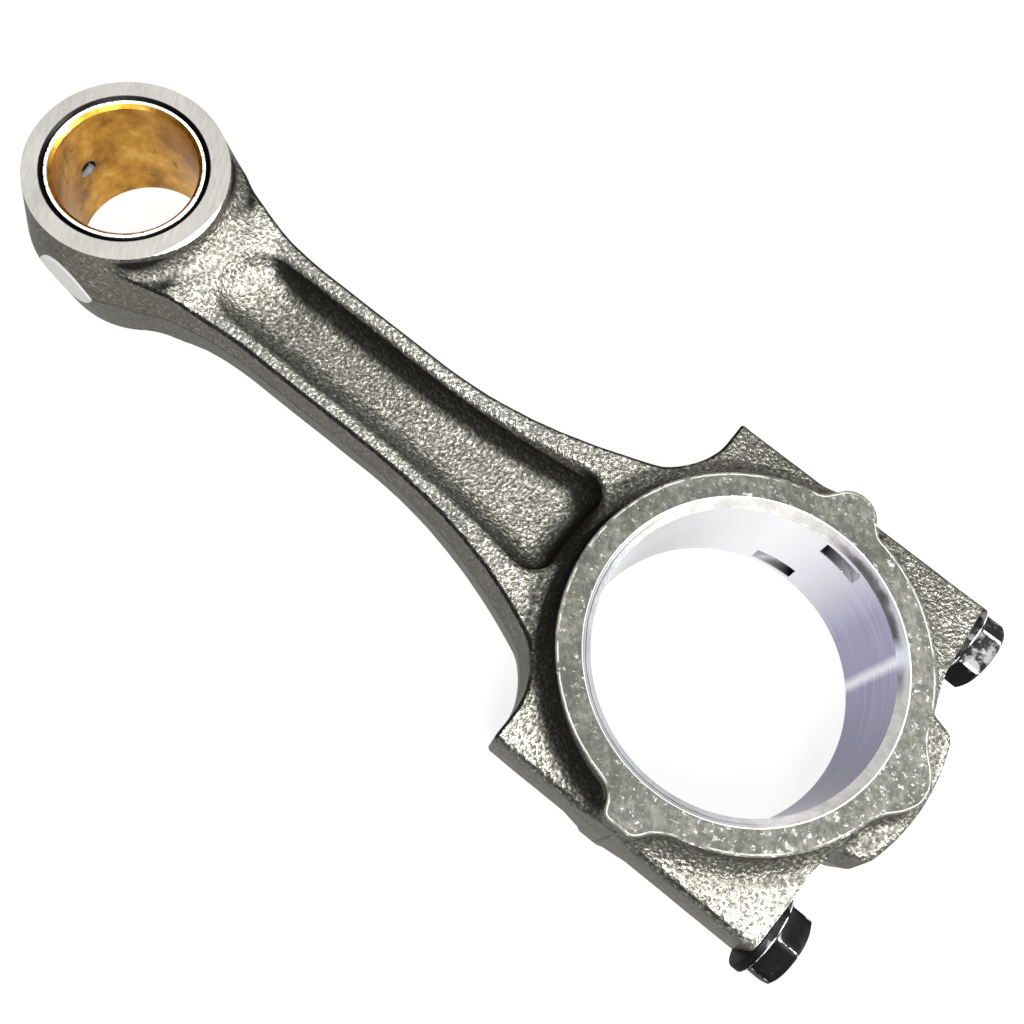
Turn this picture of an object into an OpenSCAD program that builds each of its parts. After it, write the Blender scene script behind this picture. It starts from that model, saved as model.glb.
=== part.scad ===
// Connecting rod of a small diesel engine, lying on its side.
// Origin: centre of the big-end bore, halfway through its width.
// +X runs along the rod to the small end, +Y to the side with the locating flat,
// +Z along both bores.

/* [Length and width] */
// Distance between the two bore axes
centre_distance = 135; // [132:0.5:138]
// Width of both ends along the bores
end_width = 27; // [26:0.5:29]

/* [Big end] */
// Diameter of the bore that holds the bearing shells
big_bore_d = 51; // [50:0.1:51.5]
// Chamfer at both mouths of the big-end bore
big_bore_chamfer = 1.6; // [0.8:0.1:2]
// Diameter of the machined thrust ring
thrust_ring_d = 63; // [62:0.5:65]
// How much wider the ring's forged wall is at the parting line
ring_draft = 2; // [0.5:0.25:3]
// Half the width across both bolt bosses
boss_half_w = 36.5; // [36:0.25:38]
// Height of the boss above the parting line, beside the ring
boss_height = 10; // [9:0.25:11]
// Shoulder of the rod's bosses, on the small-end side of the split
shoulder_x = 24; // [22:0.5:26]
// Depth of the cap from the split to its bolt seats
seat_depth = 28; // [27.5:0.5:29]
// Width of the lobes beside the split
lobe_w = 9; // [7:0.5:10]
// Reach of the lobes from the bore axis
lobe_reach = 35.2; // [34:0.1:36]

/* [Balance pad] */
// Radius of the pad's end about the bore axis, at the parting line
pad_r = 38; // [37:0.25:39]
// Width of the pad where it leaves the ring
pad_w = 30; // [28:0.5:32]
// Width of the pad at its end
pad_end_w = 24; // [16:0.5:26]
// Height of the pad above the parting line
pad_height = 9; // [7:0.25:10]
// Width of the nose that rises from the pad to the thrust face
nose_w = 9; // [6:0.5:12]
// Reach of the nose from the bore axis
nose_reach = 35.2; // [34:0.1:36]

/* [Bearing tang notches] */
// Width of each notch along the bore
notch_w = 4.2; // [3:0.1:5]
// Distance of each notch from the middle of the bore
notch_offset = 8.6; // [6:0.1:9]
// Radius of the cutter that makes the notch
notch_cutter_r = 8; // [7:0.25:9]

/* [Shank] */
// Half the width of the shank at its waist
waist_half_w = 10.2; // [9.5:0.1:11]
// Radius of the flanks towards the big end
flank_big_r = 100; // [90:1:110]
// Radius of the flanks towards the small end
flank_small_r = 65; // [60:1:70]
// Thickness of the web between the two pockets
web_t = 4; // [3:0.25:5]
// Thickness of the flanges at the waist
flange_t = 13.5; // [12:0.25:15]
// Half the width of the pocket at the waist
pocket_half_w = 7.5; // [7:0.1:8]

/* [Small end] */
// Diameter of the pin bore in the bush
pin_bore_d = 25; // [24:0.1:26]
// Outside diameter of the bush
bush_od = 28; // [27.5:0.1:28.5]
// How far the bush stands back from each face
bush_setback = 0.5; // [0.2:0.1:1]
// Diameter of the machined face
eye_face_d = 35.6; // [34.5:0.1:36]
// Diameter of the eye at the parting line
eye_d = 40; // [38:0.5:41]
// How far the eye's outside is set towards the shank
eye_shift = 0.4; // [0:0.1:1]
// Chamfer at the mouths of the eye's bore
eye_chamfer = 0.6; // [0.3:0.1:1]
// Diameter of the oil hole at the tip
oil_hole_d = 3.5; // [2:0.1:4]
// Distance of the locating flat from the rod's middle plane
flat_y = 19.1; // [18.8:0.1:19.6]
// Diameter of the locating flat
flat_d = 13; // [8:0.5:14]

/* [Cap bolts] */
// Distance of each bolt axis from the rod's middle plane
bolt_y = 31; // [31:0.1:31.3]
// Diameter of the bolt's shank and thread
bolt_d = 8; // [7:0.1:8.2]
// Radial clearance of the bolt in its hole
bolt_clearance = 0.05; // [0.02:0.01:0.1]
// How far the bolt reaches past the split
bolt_reach = 18; // [12:0.5:19]
// Size across the flats of the hexagon
hex_af = 12; // [10:0.5:13]
// Height of the hexagon above its flange
hex_h = 4.4; // [4:0.1:6]
// Diameter of the flange under the head
bolt_flange_d = 14.8; // [14:0.1:15.4]
// Thickness of that flange
bolt_flange_t = 1.8; // [1:0.1:2.5]
// Angle at which the head on the flat's side stopped when tightened
hex_turn_flat_side = -4; // [-30:1:30]
// Angle at which the head on the tangs' side stopped
hex_turn_tang_side = 13; // [-30:1:30]

/* [Hidden] */
$fn = 96;
eps = 0.01;
half_width = end_width / 2;
big_r = big_bore_d / 2;
ring_r = thrust_ring_d / 2;
eye_x = centre_distance - eye_shift;
hole_r = bolt_d / 2 + bolt_clearance;
hole_end_x = bolt_reach + 2;
hex_r = hex_af / sqrt(3);
hex_chamfer = 0.8;
thread_chamfer = 1;
// Wall of the hub that a lobe reaches into
lobe_root = 1;
// Place of the notch cutter, beside the split and short of the bore's wall
notch_cutter_x = 1.3;
notch_cutter_y = 19.5;
// The flanks are straight between these two stations.
waist_big_x = 72;
waist_small_x = 98;
// The shank runs this far short of the eye's middle, and is this wide there at most.
shank_end_gap = 10;
shank_end_half_w = 17;
// The pocket's ends and its widening towards the big end
pocket_big_x = 34;
pocket_corner_r = 5;
pocket_flare_r = 165;
pocket_flare_half_w = 11.2;
pocket_small_x = 113;
// The round where the rod's bosses run into the flanks
shoulder_fillet_r = 7;
// Side of the boss, from its outermost edge up to its ridge
boss_edge_z = 5;
boss_edge_inset = 0.7;
boss_corner_z = 7.3;
boss_corner_inset = 1.8;
boss_ridge_y = 25;
boss_crown_y = 15;
boss_crown_rise = 1;
pad_draft = 1.2;
// Height of the shank where it meets the ends, and where it starts and stops rising
shank_big_z = 9;
shank_small_z = 9;
low_from_x = 62;
low_to_x = 105;
high_from_eye = 16;
// How far the shoulder's round reaches back into the boss
shoulder_overlap = 2;
forging_grey = [0.45, 0.44, 0.40];
bronze = [0.76, 0.52, 0.20];
black_oxide = [0.09, 0.09, 0.09];

// Mirrors its children about the split, the parting line or the middle plane.
module both(normal) {
  children();
  mirror(normal) children();
}

// A wall drafted both ways from the parting line, with true cones.
module drafted_disc(r_mid, r_face, h) {
  both([0, 0, 1]) cylinder(h = h, r1 = r_mid, r2 = r_face);
}

// Cross-section of the bolt bosses across the rod, in Y and Z.
module boss_section() {
  side = [
    [boss_half_w, 0],
    [boss_half_w - boss_edge_inset, boss_edge_z],
    [boss_half_w - boss_corner_inset, boss_corner_z],
    [boss_ridge_y, boss_height],
    [boss_crown_y, boss_height + boss_crown_rise],
    [0, boss_height + boss_crown_rise]
  ];
  both([1, 0]) both([0, 1]) polygon(concat(side, [[0, 0]]));
}

// The bosses from one station to another along the rod.
module bosses(x_from, x_to) {
  translate([x_from, 0, 0]) rotate([90, 0, 90]) linear_extrude(x_to - x_from) boss_section();
}

// A full-width lobe with a round end, reaching out from the hub along +Y.
module lobe(w, reach) {
  translate([0, reach - w / 2, -half_width]) cylinder(h = end_width, d = w);
  translate([-w / 2, big_r + lobe_root, -half_width])
    cube([w, reach - w / 2 - big_r - lobe_root, end_width]);
}

// The round hub of the big end with the lobes beside the split.
module big_end_hub() {
  drafted_disc(ring_r + ring_draft, ring_r, half_width);
  both([0, 1, 0]) lobe(lobe_w, lobe_reach);
}

// The bore for the bearing shells, with a chamfer at both mouths.
module big_end_bore() {
  cylinder(h = end_width + 2, r = big_r, center = true);
  both([0, 0, 1]) translate([0, 0, half_width - big_bore_chamfer])
    cylinder(h = big_bore_chamfer + eps, r1 = big_r, r2 = big_r + big_bore_chamfer + eps);
}

// One notch for a bearing tang: side is 1 in the rod and -1 in the cap.
module tang_notch(side) {
  intersection() {
    translate([side * notch_cutter_x, -notch_cutter_y, -side * notch_offset])
      cylinder(h = notch_w, r = notch_cutter_r, center = true);
    translate([side > 0 ? 0 : -2 * notch_cutter_r, -2 * big_r, -half_width])
      cube([2 * notch_cutter_r, 2 * big_r, end_width]);
  }
}

// Plan outline of the shank with its concave flanks.
module shank_outline() {
  end_x = eye_x - shank_end_gap;
  translate([0, -waist_half_w]) square([end_x, 2 * waist_half_w]);
  difference() {
    translate([0, -boss_ridge_y]) square([waist_big_x, 2 * boss_ridge_y]);
    both([0, 1]) translate([waist_big_x, waist_half_w + flank_big_r]) circle(r = flank_big_r, $fn = 360);
  }
  difference() {
    translate([waist_small_x, -shank_end_half_w]) square([end_x - waist_small_x, 2 * shank_end_half_w]);
    both([0, 1]) translate([waist_small_x, waist_half_w + flank_small_r]) circle(r = flank_small_r, $fn = 360);
  }
  both([0, 1]) shoulder_fillet();
}

// The round between the shoulder and the flank, tangent to both.
module shoulder_fillet() {
  flank_centre = [waist_big_x, waist_half_w + flank_big_r];
  reach_x = waist_big_x - shoulder_x - shoulder_fillet_r;
  reach = flank_big_r - shoulder_fillet_r;
  centre = [shoulder_x + shoulder_fillet_r, flank_centre[1] - sqrt(pow(reach, 2) - pow(reach_x, 2))];
  touch = flank_centre + (centre - flank_centre) * flank_big_r / reach;
  difference() {
    polygon([[shoulder_x - shoulder_overlap, centre[1]], centre, touch, [shoulder_x - shoulder_overlap, touch[1]]]);
    translate(centre) circle(r = shoulder_fillet_r);
  }
}

// Side profile of the shank: low at the waist, rising to both ends.
module shank_profile() {
  top = [
    [0, shank_big_z],
    [pocket_big_x, shank_big_z],
    [low_from_x, flange_t / 2],
    [low_to_x, flange_t / 2],
    [eye_x - high_from_eye, shank_small_z],
    [eye_x, shank_small_z]
  ];
  both([0, 1]) polygon(concat(top, [[eye_x, 0], [0, 0]]));
}

// Outline of the pocket between the flanges.
module pocket_outline() {
  corner_x = pocket_big_x + pocket_corner_r;
  corner_y = pocket_flare_half_w - pocket_corner_r;
  end_x = pocket_small_x - pocket_half_w;
  difference() {
    union() {
      translate([corner_x, -pocket_flare_half_w]) square([waist_big_x - corner_x, 2 * pocket_flare_half_w]);
      translate([pocket_big_x, -corner_y]) square([pocket_corner_r + eps, 2 * corner_y]);
      both([0, 1]) translate([corner_x, corner_y]) circle(r = pocket_corner_r);
    }
    both([0, 1]) translate([waist_big_x, pocket_half_w + pocket_flare_r]) circle(r = pocket_flare_r, $fn = 360);
  }
  translate([waist_big_x - eps, -pocket_half_w]) square([end_x - waist_big_x + eps, 2 * pocket_half_w]);
  translate([end_x, 0]) circle(r = pocket_half_w);
}

// The I-beam shank between the two ends.
module shank() {
  difference() {
    intersection() {
      linear_extrude(end_width, center = true) shank_outline();
      rotate([90, 0, 0]) linear_extrude(4 * boss_ridge_y, center = true) shank_profile();
    }
    both([0, 0, 1]) translate([0, 0, web_t / 2]) linear_extrude(end_width) pocket_outline();
  }
}

// A through bore at the small end, chamfered at both mouths.
module small_end_hole(r, width, chamfer) {
  translate([centre_distance, 0, 0]) {
    cylinder(h = width + 2, r = r, center = true);
    both([0, 0, 1]) translate([0, 0, width / 2 - chamfer])
      cylinder(h = chamfer + eps, r1 = r, r2 = r + chamfer + eps);
  }
}

// The oil hole along the rod's axis, through the tip of the eye and the bush.
module oil_hole() {
  translate([centre_distance, 0, 0]) rotate([0, 90, 0]) cylinder(h = eye_d, d = oil_hole_d);
}

// Both bolt holes, or the one on a given side, between two stations.
module bolt_holes(x_from, x_to) {
  both([0, 1, 0]) translate([x_from, bolt_y, 0]) rotate([0, 90, 0]) cylinder(h = x_to - x_from, r = hole_r);
}

// Rod: bosses, half of the hub, shank and eye in one forging.
module rod_forging() {
  color(forging_grey) difference() {
    union() {
      bosses(0, shoulder_x);
      intersection() {
        big_end_hub();
        translate([0, -2 * ring_r, -end_width]) cube([2 * ring_r, 4 * ring_r, 2 * end_width]);
      }
      shank();
      translate([eye_x, 0, 0]) drafted_disc(eye_d / 2, eye_face_d / 2, half_width);
    }
    big_end_bore();
    tang_notch(1);
    bolt_holes(-eps, hole_end_x);
    small_end_hole(bush_od / 2, end_width, eye_chamfer);
    oil_hole();
    translate([eye_x, flat_y, 0]) rotate([-90, 0, 0]) cylinder(h = flat_d, d = flat_d);
  }
}

// The balance pad at the end of the cap, with the nose up to the thrust face.
module balance_pad() {
  intersection() {
    drafted_disc(pad_r, pad_r - pad_draft, pad_height);
    linear_extrude(end_width, center = true)
      polygon([[0, pad_w / 2], [-seat_depth, pad_w / 2], [-pad_r, pad_end_w / 2],
        [-pad_r, -pad_end_w / 2], [-seat_depth, -pad_w / 2], [0, -pad_w / 2]]);
  }
  rotate([0, 0, 90]) lobe(nose_w, nose_reach);
}

// Cap: the other half of the hub, with the bolt seats and the balance pad.
module big_end_cap() {
  color(forging_grey) difference() {
    union() {
      bosses(-seat_depth, 0);
      intersection() {
        big_end_hub();
        translate([-2 * ring_r, -2 * ring_r, -end_width]) cube([2 * ring_r, 4 * ring_r, 2 * end_width]);
      }
      balance_pad();
    }
    big_end_bore();
    tang_notch(-1);
    bolt_holes(-seat_depth - eps, eps);
  }
}

// Bush: a bronze sleeve pressed into the eye, drilled with it for oil.
module small_end_bush() {
  bush_w = end_width - 2 * bush_setback;
  color(bronze) difference() {
    translate([centre_distance, 0, 0]) both([0, 0, 1]) {
      cylinder(h = bush_w / 2 - eye_chamfer, d = bush_od);
      translate([0, 0, bush_w / 2 - eye_chamfer])
        cylinder(h = eye_chamfer, r1 = bush_od / 2, r2 = bush_od / 2 - eye_chamfer);
    }
    small_end_hole(pin_bore_d / 2, bush_w, eye_chamfer);
    oil_hole();
  }
}

// Cap bolt: hexagon, flange and a plain body where the thread is.
module cap_bolt(side, turn) {
  color(black_oxide) translate([-seat_depth, side * bolt_y, 0]) rotate([0, 90, 0]) {
    cylinder(h = seat_depth + bolt_reach - thread_chamfer, d = bolt_d);
    translate([0, 0, seat_depth + bolt_reach - thread_chamfer])
      cylinder(h = thread_chamfer, r1 = bolt_d / 2, r2 = bolt_d / 2 - thread_chamfer);
    translate([0, 0, -bolt_flange_t]) cylinder(h = bolt_flange_t, d = bolt_flange_d);
    rotate([0, 0, turn]) intersection() {
      translate([0, 0, -bolt_flange_t - hex_h]) cylinder(h = hex_h + eps, r = hex_r, $fn = 6);
      translate([0, 0, -bolt_flange_t - hex_h])
        cylinder(h = hex_h + eps, r1 = hex_r - hex_chamfer, r2 = hex_r - hex_chamfer + hex_h + eps);
    }
  }
}

module cap_bolt_flat_side() { cap_bolt(1, hex_turn_flat_side); }
module cap_bolt_tang_side() { cap_bolt(-1, hex_turn_tang_side); }

rod_forging();
big_end_cap();
small_end_bush();
cap_bolt_flat_side();
cap_bolt_tang_side();
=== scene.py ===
"""Connecting rod of a small diesel engine, lying on a pale floor in soft studio light.

The forgings are worked out in millimetres as one implicit field each: blanks with draft and
rounds, grown together, then machined by sharp cuts. A dual contour turns each field into a
mesh, with its corners on the cuts. The bolts are turned profiles carried round their axes.
"""

import math

import bpy
import numpy as np
from mathutils import Matrix, Vector


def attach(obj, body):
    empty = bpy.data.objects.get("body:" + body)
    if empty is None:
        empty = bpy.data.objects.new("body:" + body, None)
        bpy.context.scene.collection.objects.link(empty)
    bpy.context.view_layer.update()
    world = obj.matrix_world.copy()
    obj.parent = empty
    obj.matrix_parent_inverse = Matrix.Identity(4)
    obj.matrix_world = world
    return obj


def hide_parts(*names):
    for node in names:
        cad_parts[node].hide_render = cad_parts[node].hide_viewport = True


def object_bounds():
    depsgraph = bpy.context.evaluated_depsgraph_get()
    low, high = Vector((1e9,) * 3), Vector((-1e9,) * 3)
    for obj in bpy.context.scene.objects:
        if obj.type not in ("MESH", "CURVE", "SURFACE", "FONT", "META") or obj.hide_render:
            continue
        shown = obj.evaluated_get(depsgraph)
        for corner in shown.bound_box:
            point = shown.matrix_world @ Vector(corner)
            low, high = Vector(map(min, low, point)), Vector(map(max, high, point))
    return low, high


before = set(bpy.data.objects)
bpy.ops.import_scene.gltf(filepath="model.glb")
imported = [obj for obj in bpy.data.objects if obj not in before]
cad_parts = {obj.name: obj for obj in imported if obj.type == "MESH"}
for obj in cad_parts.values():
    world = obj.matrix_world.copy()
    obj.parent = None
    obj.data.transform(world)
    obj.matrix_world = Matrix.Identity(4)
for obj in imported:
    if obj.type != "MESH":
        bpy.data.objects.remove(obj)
cad_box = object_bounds()
MM = 0.001

# Sizes in millimetres. X runs from the big end's centre to the small end, Z along both bores.
REACH = 135.0           # from bore to bore
BIG_TO = 60.0           # the big end's machined cuts lie below this X
SMALL_FROM = 100.0      # and the small end's above this one
HALF_WIDTH = 13.5
BORE_R = 25.5
BORE_CHAMFER = 1.6
RING_R = 31.5           # thrust ring at its face
RING_DRAFT = 2.0        # and what it grows by down to the parting line
LOBE_DRAFT = 0.9        # the same of its lobes and of the cap's nose
RING_FILLET = 3.6
BOSS_X = 24.0
BOSS_Y = 35.9
BOSS_TOP = 11.0
BOSS_EDGE = (35.3, 7.3) # point (y, z) on the chamfer along the bosses' outer edges
DRAFT = 0.08            # slope of the forged sides
FORGE_SHIFT = -0.4      # middle of the forging's bosses, in Y
SEAT = 28.0             # from the split back to the bolts' seats
SEAT_X = -SEAT
SEAT_R = 8.2
BOLT_Y = 31.0
HOLE_R = 4.05
HOLE_DEPTH = 20.0
NOTCH_R = 8.0           # radius of the cutter that makes the tang notches
NOTCH_AXIS = (1.3, 19.5)    # the cutter's axis, beside the split and towards the notch
NOTCH_Z = 8.6
NOTCH_HALF = 2.1
WAIST = (72.0, 98.0)    # where the shank's flanks are straight, in X
WAIST_HALF = 10.2
FLANK_R = 100.0         # concave flank towards the big end
EYE_FLANK_R = 65.0      # concave flank towards the small end
SHANK_FILLET = 7.0      # in plan, between the shank and the bosses
SHANK_MOST = 24.0       # widest half of the shank at the big end
SHANK_END_HALF = 14.4   # and at the eye
SHANK_TO = 128.0
POCKET_FROM = 34.0
POCKET_TO = 105.5       # centre of the pocket's round end
POCKET_HALF = 7.5
POCKET_SIDE_R = 165.0   # of its bowed sides
POCKET_CORNER_R = 6.5
POCKET_DRAFT = 0.22
POCKET_EDGE_R = 0.9
FLOOR_FILLET = 4.4
WEB_HALF = 2.0
SCOOP_R = 22.0          # arc on which the pocket's floor rises at the eye
SCOOP_FROM = 99.5
SCOOP_LENGTH = 17.0
EYE_X = 134.6           # middle of the forged eye, a little off its bore
EYE_R = 20.0
EYE_FACE_R = 17.8
EYE_FILLET = 3.0
BEVEL_AT = (6.8, 0.9)   # axis of the bevel round the eye's face, past the eye's own
BEVEL_R = 24.0
BEVEL_FROM = 11.3       # its lowest |z|
BUSH_R = 14.0
PIN_R = 12.5
BUSH_SETBACK = 0.2
EYE_CHAMFER = 0.6
BUSH_CHAMFER = 0.3
PIN_CHAMFER = 0.7
OIL_R = 1.75
FLAT_Y = 19.1
FLAT_R = 6.5
NOSE_X = -30.9          # nose on the cap's ring
NOSE_Y = 0.4
NOSE_R = 4.4
PAD_R = 37.95           # balance pad on the cap's back
PAD_HALF = 9.2
PAD_CORNER = ((15.7, 28.0), (13.0, 38.0))
# Cosines of how far a wall leans, which turn a distance in plan into one square to the wall
HUB_LEAN, EYE_LEAN, POCKET_LEAN, DIAGONAL = 0.99, 0.985, 0.975, math.sqrt(0.5)


# ---------------------------------------------------------------- fields

def join(a, b, r):
    """Union of two fields with a fillet of radius r: the smaller one, less a quarter circle."""
    u, v = np.maximum(r - a, 0), np.maximum(r - b, 0)
    return np.maximum(r, np.minimum(a, b)) - np.hypot(u, v)


def keep(a, b, r):
    """Common part of two fields with its corner rounded to radius r."""
    u, v = np.maximum(r + a, 0), np.maximum(r + b, 0)
    return np.minimum(-r, np.maximum(a, b)) + np.hypot(u, v)


def carve(a, b, r):
    """Field a less field b, with the new corner rounded to radius r."""
    return keep(a, -b, r)


def rise(x, x0, x1):
    """0 before x0, 1 after x1, with a smooth ramp 3t^2 - 2t^3 between."""
    t = np.clip((x - x0) / (x1 - x0), 0, 1)
    return t * t * (3 - 2 * t)


def half_plane(u, v, p, q):
    """Distance outside the line from p to q, which has the metal on its left."""
    du, dv = q[0] - p[0], q[1] - p[1]
    return ((u - p[0]) * dv - (v - p[1]) * du) / math.hypot(du, dv)


def hide(x, y, z):
    """Slow swell of the forged hide, 0 to 0.1 mm of metal missing: a sum of six sine waves."""
    waves = [(0.31, 0.17, 0.11, 0.4), (-0.22, 0.37, 0.19, 1.9), (0.13, -0.41, 0.29, 3.1),
             (0.53, 0.23, -0.31, 4.4), (-0.47, 0.61, 0.23, 5.2), (0.71, -0.37, 0.43, 0.9)]
    height, mean = 0.012, 4.0
    swell = 0.0
    for k, (a, b, c, phase) in enumerate(waves):
        swell = swell + np.sin(a * x + b * y + c * z + phase) / (1 + 0.35 * k)
    return height * (swell + mean)


def hub(x, y, z):
    """Cone about the big-end axis, drafted both ways from the parting line."""
    wall = RING_R + RING_DRAFT * (1 - np.abs(z) / HALF_WIDTH)
    return (np.hypot(x, y) - wall) * HUB_LEAN


def soften(a, b, width):
    """Larger of two fields, with the crease rounded off: max + w/4 (1 - |a - b|/w)^2."""
    near = np.maximum(1 - np.abs(a - b) / width, 0)
    return np.maximum(a, b) + near * near * width / 4


def boss_top(v):
    """Half the height of the bolt bosses at a distance v from their middle: level, then down
    by 1 in 10, then steeper to the outer edge, with both creases rounded off."""
    crown = np.broadcast_to(-BOSS_TOP, v.shape)
    ridge = (v - 25) * 0.1 - 10
    outer = (v - 34.7) * 0.278 - BOSS_EDGE[1]
    return -soften(soften(crown, ridge, 1.0), outer, 1.6)


def forged_bar(plan, v, up, top):
    """Bar of a plan field and half its height: drafted side, chamfered edge and top."""
    edge = (v - BOSS_EDGE[0]) * 0.902 + (up - BOSS_EDGE[1]) * 0.431
    return soften(soften(plan, edge, 0.6), up - top, 0.9)


def round_lobe(x, y):
    """Plan of the round lobe on the tang side, with its neck to the ring."""
    lobe_y, lobe_r = 30.8, 4.7
    return np.maximum(np.hypot(x, y + lobe_y) - lobe_r, y)


def cut_lobe(x, y):
    """Plan of the flat-topped lobe on the other side: three edges, with rounds between."""
    corner = 1.2
    d = half_plane(x, y, (5.4, 30.0), (3.6, 35.0))
    d = keep(d, half_plane(x, y, (3.6, 35.1), (-2.0, 35.1)), corner)
    return keep(d, half_plane(x, y, (-2.2, 35.1), (-6.0, 30.0)), corner)


def hub_with_lobes(x, y, z):
    """The hub, with both lobes standing on it beside the split."""
    round_fillet, cut_fillet = 2.0, 1.6
    slope = LOBE_DRAFT * (1 - np.abs(z) / HALF_WIDTH)
    d = join(hub(x, y, z), round_lobe(x, y) - slope, round_fillet)
    return join(d, np.maximum(cut_lobe(x, y) - slope, 20 - y), cut_fillet)


def big_end_cuts(d, x, y, z):
    """Machines the big end: thrust faces, bore and its chamfers."""
    r, up = np.hypot(x, y), np.abs(z)
    d = np.maximum(d, up - HALF_WIDTH)
    d = np.maximum(d, BORE_R - r)
    return np.maximum(d, (BORE_R + BORE_CHAMFER - HALF_WIDTH - r + up) * DIAGONAL)


def tang_notch(x, y, z, side):
    """Slot of a round cutter in the bore's edge, beside the split."""
    reach = np.hypot(x - side * NOTCH_AXIS[0], y + NOTCH_AXIS[1]) - NOTCH_R
    return np.maximum(np.maximum(reach, np.abs(z + side * NOTCH_Z) - NOTCH_HALF), -side * x)


def flank(x, y):
    """Plan of the shank: concave flanks either side of a straight waist, within two limits."""
    v = np.abs(y)
    to_big = FLANK_R - np.hypot(x - WAIST[0], v - WAIST_HALF - FLANK_R)
    to_eye = EYE_FLANK_R - np.hypot(x - WAIST[1], v - WAIST_HALF - EYE_FLANK_R)
    to_eye = np.maximum(to_eye, v - SHANK_END_HALF)
    side = np.where(x < WAIST[0], to_big, np.where(x > WAIST[1], to_eye, v - WAIST_HALF))
    return np.maximum(side, v - SHANK_MOST)


def flange_height(x):
    """Half the height of the shank: low at the waist, rising to both ends."""
    waist, to_big, to_eye = 6.75, 2.25, 2.2
    return waist + to_big * (1 - rise(x, 36, 66)) + to_eye * rise(x, 107, 116.5)


def floor_height(x):
    """Half the height of the web, which scoops up on an arc at the small end."""
    t = np.clip(x - SCOOP_FROM, 0, SCOOP_LENGTH)
    return WEB_HALF + SCOOP_R - np.sqrt(SCOOP_R ** 2 - t * t)


def pocket(x, y, z):
    """The hollow of the I-section: drafted walls, round bottom corners."""
    v, up = np.abs(y), np.abs(z)
    bowed = POCKET_SIDE_R - np.hypot(x - WAIST[0], v - POCKET_HALF - POCKET_SIDE_R)
    sides = np.where(x < WAIST[0], bowed, v - POCKET_HALF)
    plan = keep(sides, POCKET_FROM - x, POCKET_CORNER_R)
    plan = np.where(x > POCKET_TO, np.hypot(x - POCKET_TO, y) - POCKET_HALF, plan)
    wall = plan + POCKET_DRAFT * (flange_height(x) - up)
    return keep(wall * POCKET_LEAN, floor_height(x) - up, FLOOR_FILLET)


def rod_blank(x, y, z):
    """Blank of the rod: hub, bosses, shank and eye grown together with forged fillets."""
    up, v = np.abs(z), np.abs(y - FORGE_SHIFT)
    boss = keep(x - BOSS_X, v - BOSS_Y, 1.0)
    plan = join(boss, flank(x, y) + DRAFT * (up - 8), SHANK_FILLET)
    to_shank = rise(x, 21, 30)
    top = boss_top(v) * (1 - to_shank) + flange_height(x) * to_shank
    beam = np.maximum(forged_bar(plan, v, up, top), x - SHANK_TO)
    beam = carve(beam, pocket(x, y, z), POCKET_EDGE_R)
    eye_wall = EYE_R - (EYE_R - EYE_FACE_R) * up / HALF_WIDTH
    eye = (np.hypot(x - EYE_X, y) - eye_wall) * EYE_LEAN
    d = join(beam, eye, EYE_FILLET)
    d = join(d, hub_with_lobes(x, y, z), RING_FILLET)
    return np.maximum(d, v - BOSS_Y) + hide(x, y, z)


def oil_drilling(x, y, z):
    """The oil hole, along X through the tip of the eye and of the bush."""
    return np.maximum(np.hypot(y, z) - OIL_R, REACH - x)


def rod_field(x, y, z):
    """The rod's blank with its faces, bores, notch and holes cut."""
    up = np.abs(z)
    d = big_end_cuts(rod_blank(x, y, z), x, y, z)
    d = np.maximum(d, -x)
    d = np.maximum(d, -tang_notch(x, y, z, 1))
    hole = np.maximum(np.hypot(np.abs(y) - BOLT_Y, z) - HOLE_R, x - HOLE_DEPTH)
    d = np.maximum(d, -hole)
    pin = np.hypot(x - REACH, y)
    d = np.maximum(d, BUSH_R - pin)
    d = np.maximum(d, (BUSH_R + EYE_CHAMFER - HALF_WIDTH - pin + up) * DIAGONAL)
    from_axis = np.hypot(x - EYE_X - BEVEL_AT[0], y + BEVEL_AT[1])
    bevel = (from_axis - BEVEL_R + up - HALF_WIDTH) * DIAGONAL
    d = np.maximum(d, np.where(x > SMALL_FROM, np.minimum(bevel, up - BEVEL_FROM), -99))
    d = np.maximum(d, -oil_drilling(x, y, z))
    spot = np.maximum(np.hypot(x - EYE_X, z) - FLAT_R, FLAT_Y - y)
    return np.maximum(d, -spot)


def cap_blank(x, y, z):
    """Blank of the cap: hub, bosses, balance pad and nose grown together."""
    nose_fillet, ring_fillet, pad_fillet, pad_edge = 5.0, 3.0, 2.0, 1.3
    up, v, off = np.abs(z), np.abs(y - FORGE_SHIFT), np.abs(y - NOSE_Y)
    boss = np.maximum(forged_bar(v - BOSS_Y, v, up, boss_top(v)), SEAT_X - x)
    nose = np.hypot(x - NOSE_X, off) - NOSE_R
    nose = np.where(x > NOSE_X, off - NOSE_R, nose)
    nose = np.maximum(nose - LOBE_DRAFT * (1 - up / HALF_WIDTH), x + 20)
    d = join(boss, join(hub_with_lobes(x, y, z), nose, nose_fillet), ring_fillet)
    d = np.maximum(d, v - BOSS_Y)
    end = soften(np.hypot(x, y) - PAD_R, half_plane(off, -x, *PAD_CORNER), 1.2)
    pad = np.maximum(keep(end + DRAFT * up, up - PAD_HALF, pad_edge), x + 10)
    return join(d, pad, pad_fillet) + hide(x, y, z)


def cap_field(x, y, z):
    """The cap's blank with its faces, bore, notch, bolt holes and seats cut."""
    d = big_end_cuts(cap_blank(x, y, z), x, y, z)
    d = np.maximum(d, x)
    d = np.maximum(d, -tang_notch(x, y, z, -1))
    bolt = np.hypot(np.abs(y) - BOLT_Y, z)
    d = np.maximum(d, HOLE_R - bolt)
    return np.maximum(d, -np.maximum(bolt - SEAT_R, x - SEAT_X))


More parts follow.
